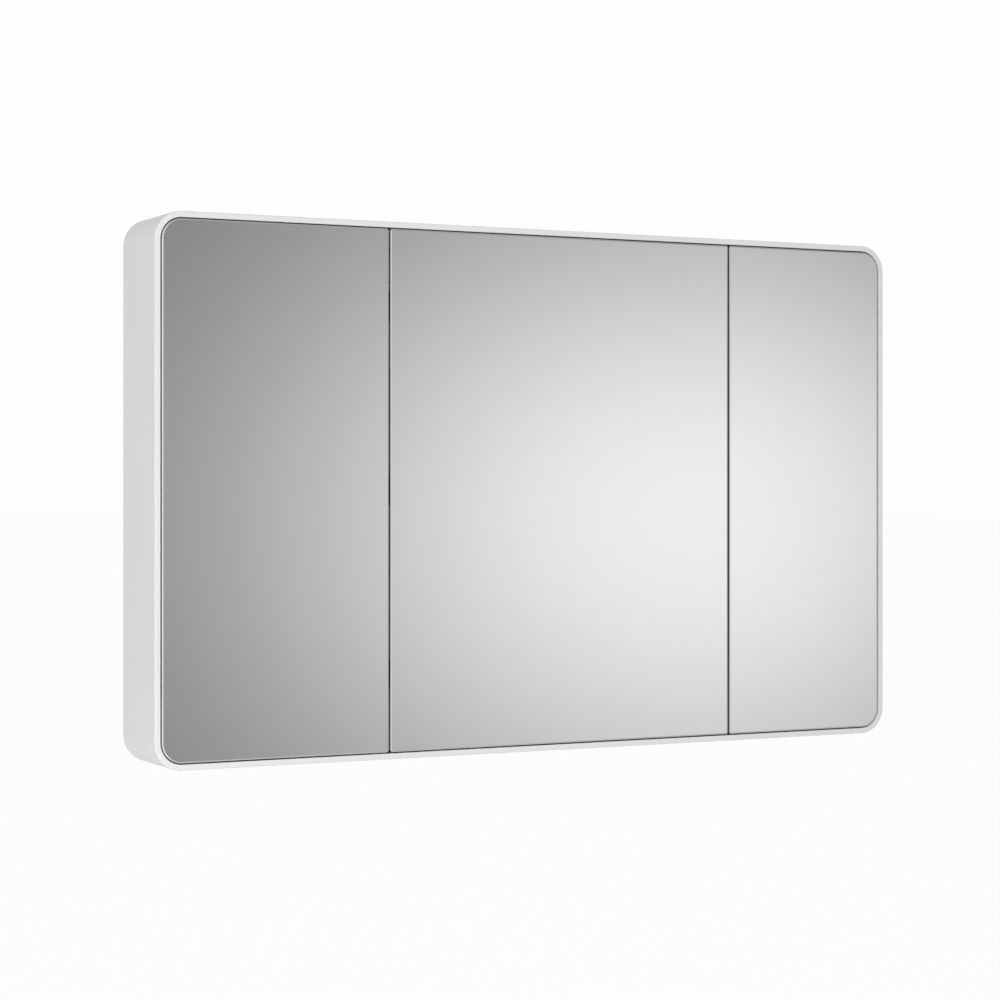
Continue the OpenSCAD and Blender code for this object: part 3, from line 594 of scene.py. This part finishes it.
@dataclass(frozen=True)
class GlowScreen:
    """A far curved screen that only the glossy surfaces see, with one soft pool of light on grey."""

    radius: float = 120.0
    centre_az: float = 31.6
    centre_el: float = -0.8
    width_left: float = 7.35
    width_right: float = 6.2
    height_up: float = 5.45
    height_down: float = 5.8
    base: float = 0.188
    peak: float = 0.946
    side_az: float = -20.0
    side_width: float = 13.0
    side_level: float = 0.65
    rim_start: float = 22.0
    rim_end: float = 60.0
    rim_level: float = 0.45
    floor_gain: float = 1.3
    wide_start: float = 44.0
    wide_end: float = 82.0

    def falloff(self, nodes: Nodes, angle: bpy.types.NodeSocket, centre: float,
                below: float, above: float) -> bpy.types.NodeSocket:
        """Square of the angle from the centre, in widths, with a width for each side."""
        off = nodes.maths("SUBTRACT", angle, centre)
        over = nodes.maths("DIVIDE", nodes.maths("MAXIMUM", off, 0.0), above)
        under = nodes.maths("DIVIDE", nodes.maths("MINIMUM", off, 0.0), below)
        return nodes.maths("POWER", nodes.maths("ADD", over, under), 2.0)

    def build(self) -> None:
        """Makes the screen and its glowing material."""
        bm = bmesh.new()
        bmesh.ops.create_uvsphere(bm, u_segments=96, v_segments=48, radius=self.radius)
        gone = [v for v in bm.verts if v.co.y > self.radius * 0.35]
        bmesh.ops.delete(bm, geom=gone, context="VERTS")
        mesh = bpy.data.meshes.new("glow_screen")
        bm.to_mesh(mesh)
        bm.free()
        screen = bpy.data.objects.new("glow_screen", mesh)
        bpy.context.scene.collection.objects.link(screen)
        material = bpy.data.materials.new("screen_glow")
        material.use_nodes = True
        material.node_tree.nodes.clear()
        nodes = Nodes(material.node_tree)
        place = nodes.add("ShaderNodeSeparateXYZ")
        nodes.link(nodes.add("ShaderNodeTexCoord").outputs["Object"], place.inputs[0])
        x, y, z = place.outputs
        azimuth = nodes.maths("DEGREES", nodes.maths("ARCTAN2", x, nodes.maths("MULTIPLY", y, -1.0)))
        height = nodes.maths("DEGREES", nodes.maths("ARCSINE", nodes.maths("DIVIDE", z, self.radius)))
        across = self.falloff(nodes, azimuth, self.centre_az, self.width_left, self.width_right)
        up = self.falloff(nodes, height, self.centre_el, self.height_down, self.height_up)
        inside = nodes.maths("MULTIPLY", nodes.maths("ADD", across, up), -0.5)
        glow = nodes.maths("EXPONENT", inside)
        level = nodes.maths("ADD", nodes.maths("MULTIPLY", glow, self.peak - self.base), self.base)
        beside = self.falloff(nodes, azimuth, self.side_az, self.side_width, self.side_width)
        beside = nodes.maths("EXPONENT", nodes.maths("MULTIPLY", beside, -0.5))
        level = nodes.maths("ADD", level, nodes.maths("MULTIPLY", beside, self.side_level))
        steep = nodes.maths("MAXIMUM", height, nodes.maths("MULTIPLY", height, -self.floor_gain))
        steep = nodes.spread(steep, 0.0, self.rim_level, self.rim_start, self.rim_end)
        level = nodes.maths("ADD", level, steep)
        wide = nodes.spread(nodes.maths("ABSOLUTE", azimuth), 0.0, self.rim_level,
                            self.wide_start, self.wide_end)
        level = nodes.maths("ADD", level, wide)
        emission = nodes.add("ShaderNodeEmission")
        nodes.link(level, emission.inputs["Strength"])
        output = nodes.add("ShaderNodeOutputMaterial")
        nodes.link(emission.outputs[0], output.inputs["Surface"])
        mesh.materials.append(material)
        screen.visible_camera = False
        screen.visible_diffuse = False
        screen.visible_transmission = False
        screen.visible_shadow = False
        screen.visible_volume_scatter = False
        screen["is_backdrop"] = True


@dataclass(frozen=True)
class Lamp:
    """A square soft lamp that faces the cabinet's middle and isn't seen in the mirrors."""

    name: str
    place: tuple[float, float, float]
    size: float
    power: float

    def build(self) -> None:
        """Makes the lamp in its place."""
        data = bpy.data.lights.new(self.name, "AREA")
        data.shape = "SQUARE"
        data.size = self.size
        data.energy = self.power
        lamp = bpy.data.objects.new(self.name, data)
        bpy.context.scene.collection.objects.link(lamp)
        lamp.location = self.place
        lamp.rotation_mode = "QUATERNION"
        lamp.rotation_quaternion = (-Vector(self.place)).to_track_quat("-Z", "Y")
        lamp.visible_glossy = False
        lamp.visible_camera = False


@dataclass(frozen=True)
class Studio:
    """White surroundings, a pale floor and soft lamps."""

    white: float = 0.985
    ambient: float = 0.56
    floor_drop: float = 0.85
    floor_size: float = 60.0
    floor_front: float = 0.9
    floor_shade: float = 0.05
    floor_tone: float = 0.8
    lamps: tuple[Lamp, ...] = (
        Lamp("key_lamp", (-2.3, -2.8, -0.9), size=1.8, power=62.0),
        Lamp("top_lamp", (0.2, -1.2, 2.6), size=2.0, power=8.0),
    )

    def seen(self, nodes: Nodes) -> bpy.types.NodeSocket:
        """1 for rays from the camera or by way of gloss or glass, otherwise 0."""
        path = nodes.add("ShaderNodeLightPath").outputs
        both = nodes.maths("MAXIMUM", path["Is Camera Ray"], path["Is Glossy Ray"])
        return nodes.maths("MAXIMUM", both, path["Is Transmission Ray"])

    def world(self) -> None:
        """White where it is seen, and a plain level of light on the object."""
        world = bpy.data.worlds.new("studio_air")
        bpy.context.scene.world = world
        world.use_nodes = True
        world.node_tree.nodes.clear()
        nodes = Nodes(world.node_tree)
        seen = self.seen(nodes)
        gain = nodes.maths("MULTIPLY", seen, self.white - self.ambient)
        air = nodes.add("ShaderNodeBackground")
        air.inputs["Color"].default_value = (1.0, 1.0, 1.0, 1.0)
        nodes.link(nodes.maths("ADD", gain, self.ambient), air.inputs["Strength"])
        output = nodes.add("ShaderNodeOutputWorld")
        nodes.link(air.outputs[0], output.inputs["Surface"])

    def floor(self) -> None:
        """A wide pale floor below the cabinet that keeps its shadow."""
        low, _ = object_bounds()
        bm = bmesh.new()
        bmesh.ops.create_grid(bm, x_segments=4, y_segments=4, size=self.floor_size)
        bmesh.ops.translate(bm, verts=bm.verts,
                            vec=Vector((0, self.floor_size - self.floor_front, low.z - self.floor_drop)))
        mesh = bpy.data.meshes.new("studio_floor")
        bm.to_mesh(mesh)
        bm.free()
        floor = bpy.data.objects.new("studio_floor", mesh)
        bpy.context.scene.collection.objects.link(floor)
        material = bpy.data.materials.new("floor_white")
        material.use_nodes = True
        material.node_tree.nodes.clear()
        nodes = Nodes(material.node_tree)
        matte = nodes.add("ShaderNodeBsdfDiffuse")
        matte.inputs["Color"].default_value = (*[self.floor_tone] * 3, 1.0)
        lit = nodes.add("ShaderNodeEmission")
        lit.inputs["Color"].default_value = (1.0, 1.0, 1.0, 1.0)
        blend = nodes.add("ShaderNodeMixShader")
        nodes.link(nodes.maths("MULTIPLY", self.seen(nodes), 1.0 - self.floor_shade), blend.inputs[0])
        nodes.link(matte.outputs[0], blend.inputs[1])
        nodes.link(lit.outputs[0], blend.inputs[2])
        output = nodes.add("ShaderNodeOutputMaterial")
        nodes.link(blend.outputs[0], output.inputs["Surface"])
        mesh.materials.append(material)
        floor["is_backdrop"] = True

    def build(self) -> None:
        """Sets up the world, the floor and the lamps."""
        self.world()
        self.floor()
        for lamp in self.lamps:
            lamp.build()


@dataclass(frozen=True)
class Viewpoint:
    """A long lens at the middle's height, to the cabinet's left."""

    turn: float = 27.03
    place: tuple[float, float, float] = (-1.722, -3.361, 0.0124)
    lens: float = 90.04
    sensor: float = 36.0
    shift: float = -0.0183

    def build(self) -> None:
        """Makes the camera and uses it for the scene."""
        data = bpy.data.cameras.new("camera")
        data.lens, data.sensor_width, data.shift_y = self.lens, self.sensor, self.shift
        data.clip_start, data.clip_end = 0.05, 500.0
        camera = bpy.data.objects.new("camera", data)
        bpy.context.scene.collection.objects.link(camera)
        camera.location = self.place
        camera.rotation_euler = (math.radians(90), 0.0, math.radians(-self.turn))
        bpy.context.scene.camera = camera


def main() -> None:
    """Builds the cabinet's looks and the studio in order."""
    logging.basicConfig(level=logging.INFO, format="%(message)s")
    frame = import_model()
    bpy.context.scene.view_settings.view_transform = "Standard"
    dress_frame(frame["nodes"])
    Surround().build()
    for side in Side:
        Door(side).build()
        for level in ("upper", "lower"):
            Shelf().build(f"{side.value}_{level}_shelf")
    Studio().build()
    GlowScreen().build()
    Viewpoint().build()


if __name__ == "__main__":
    main()
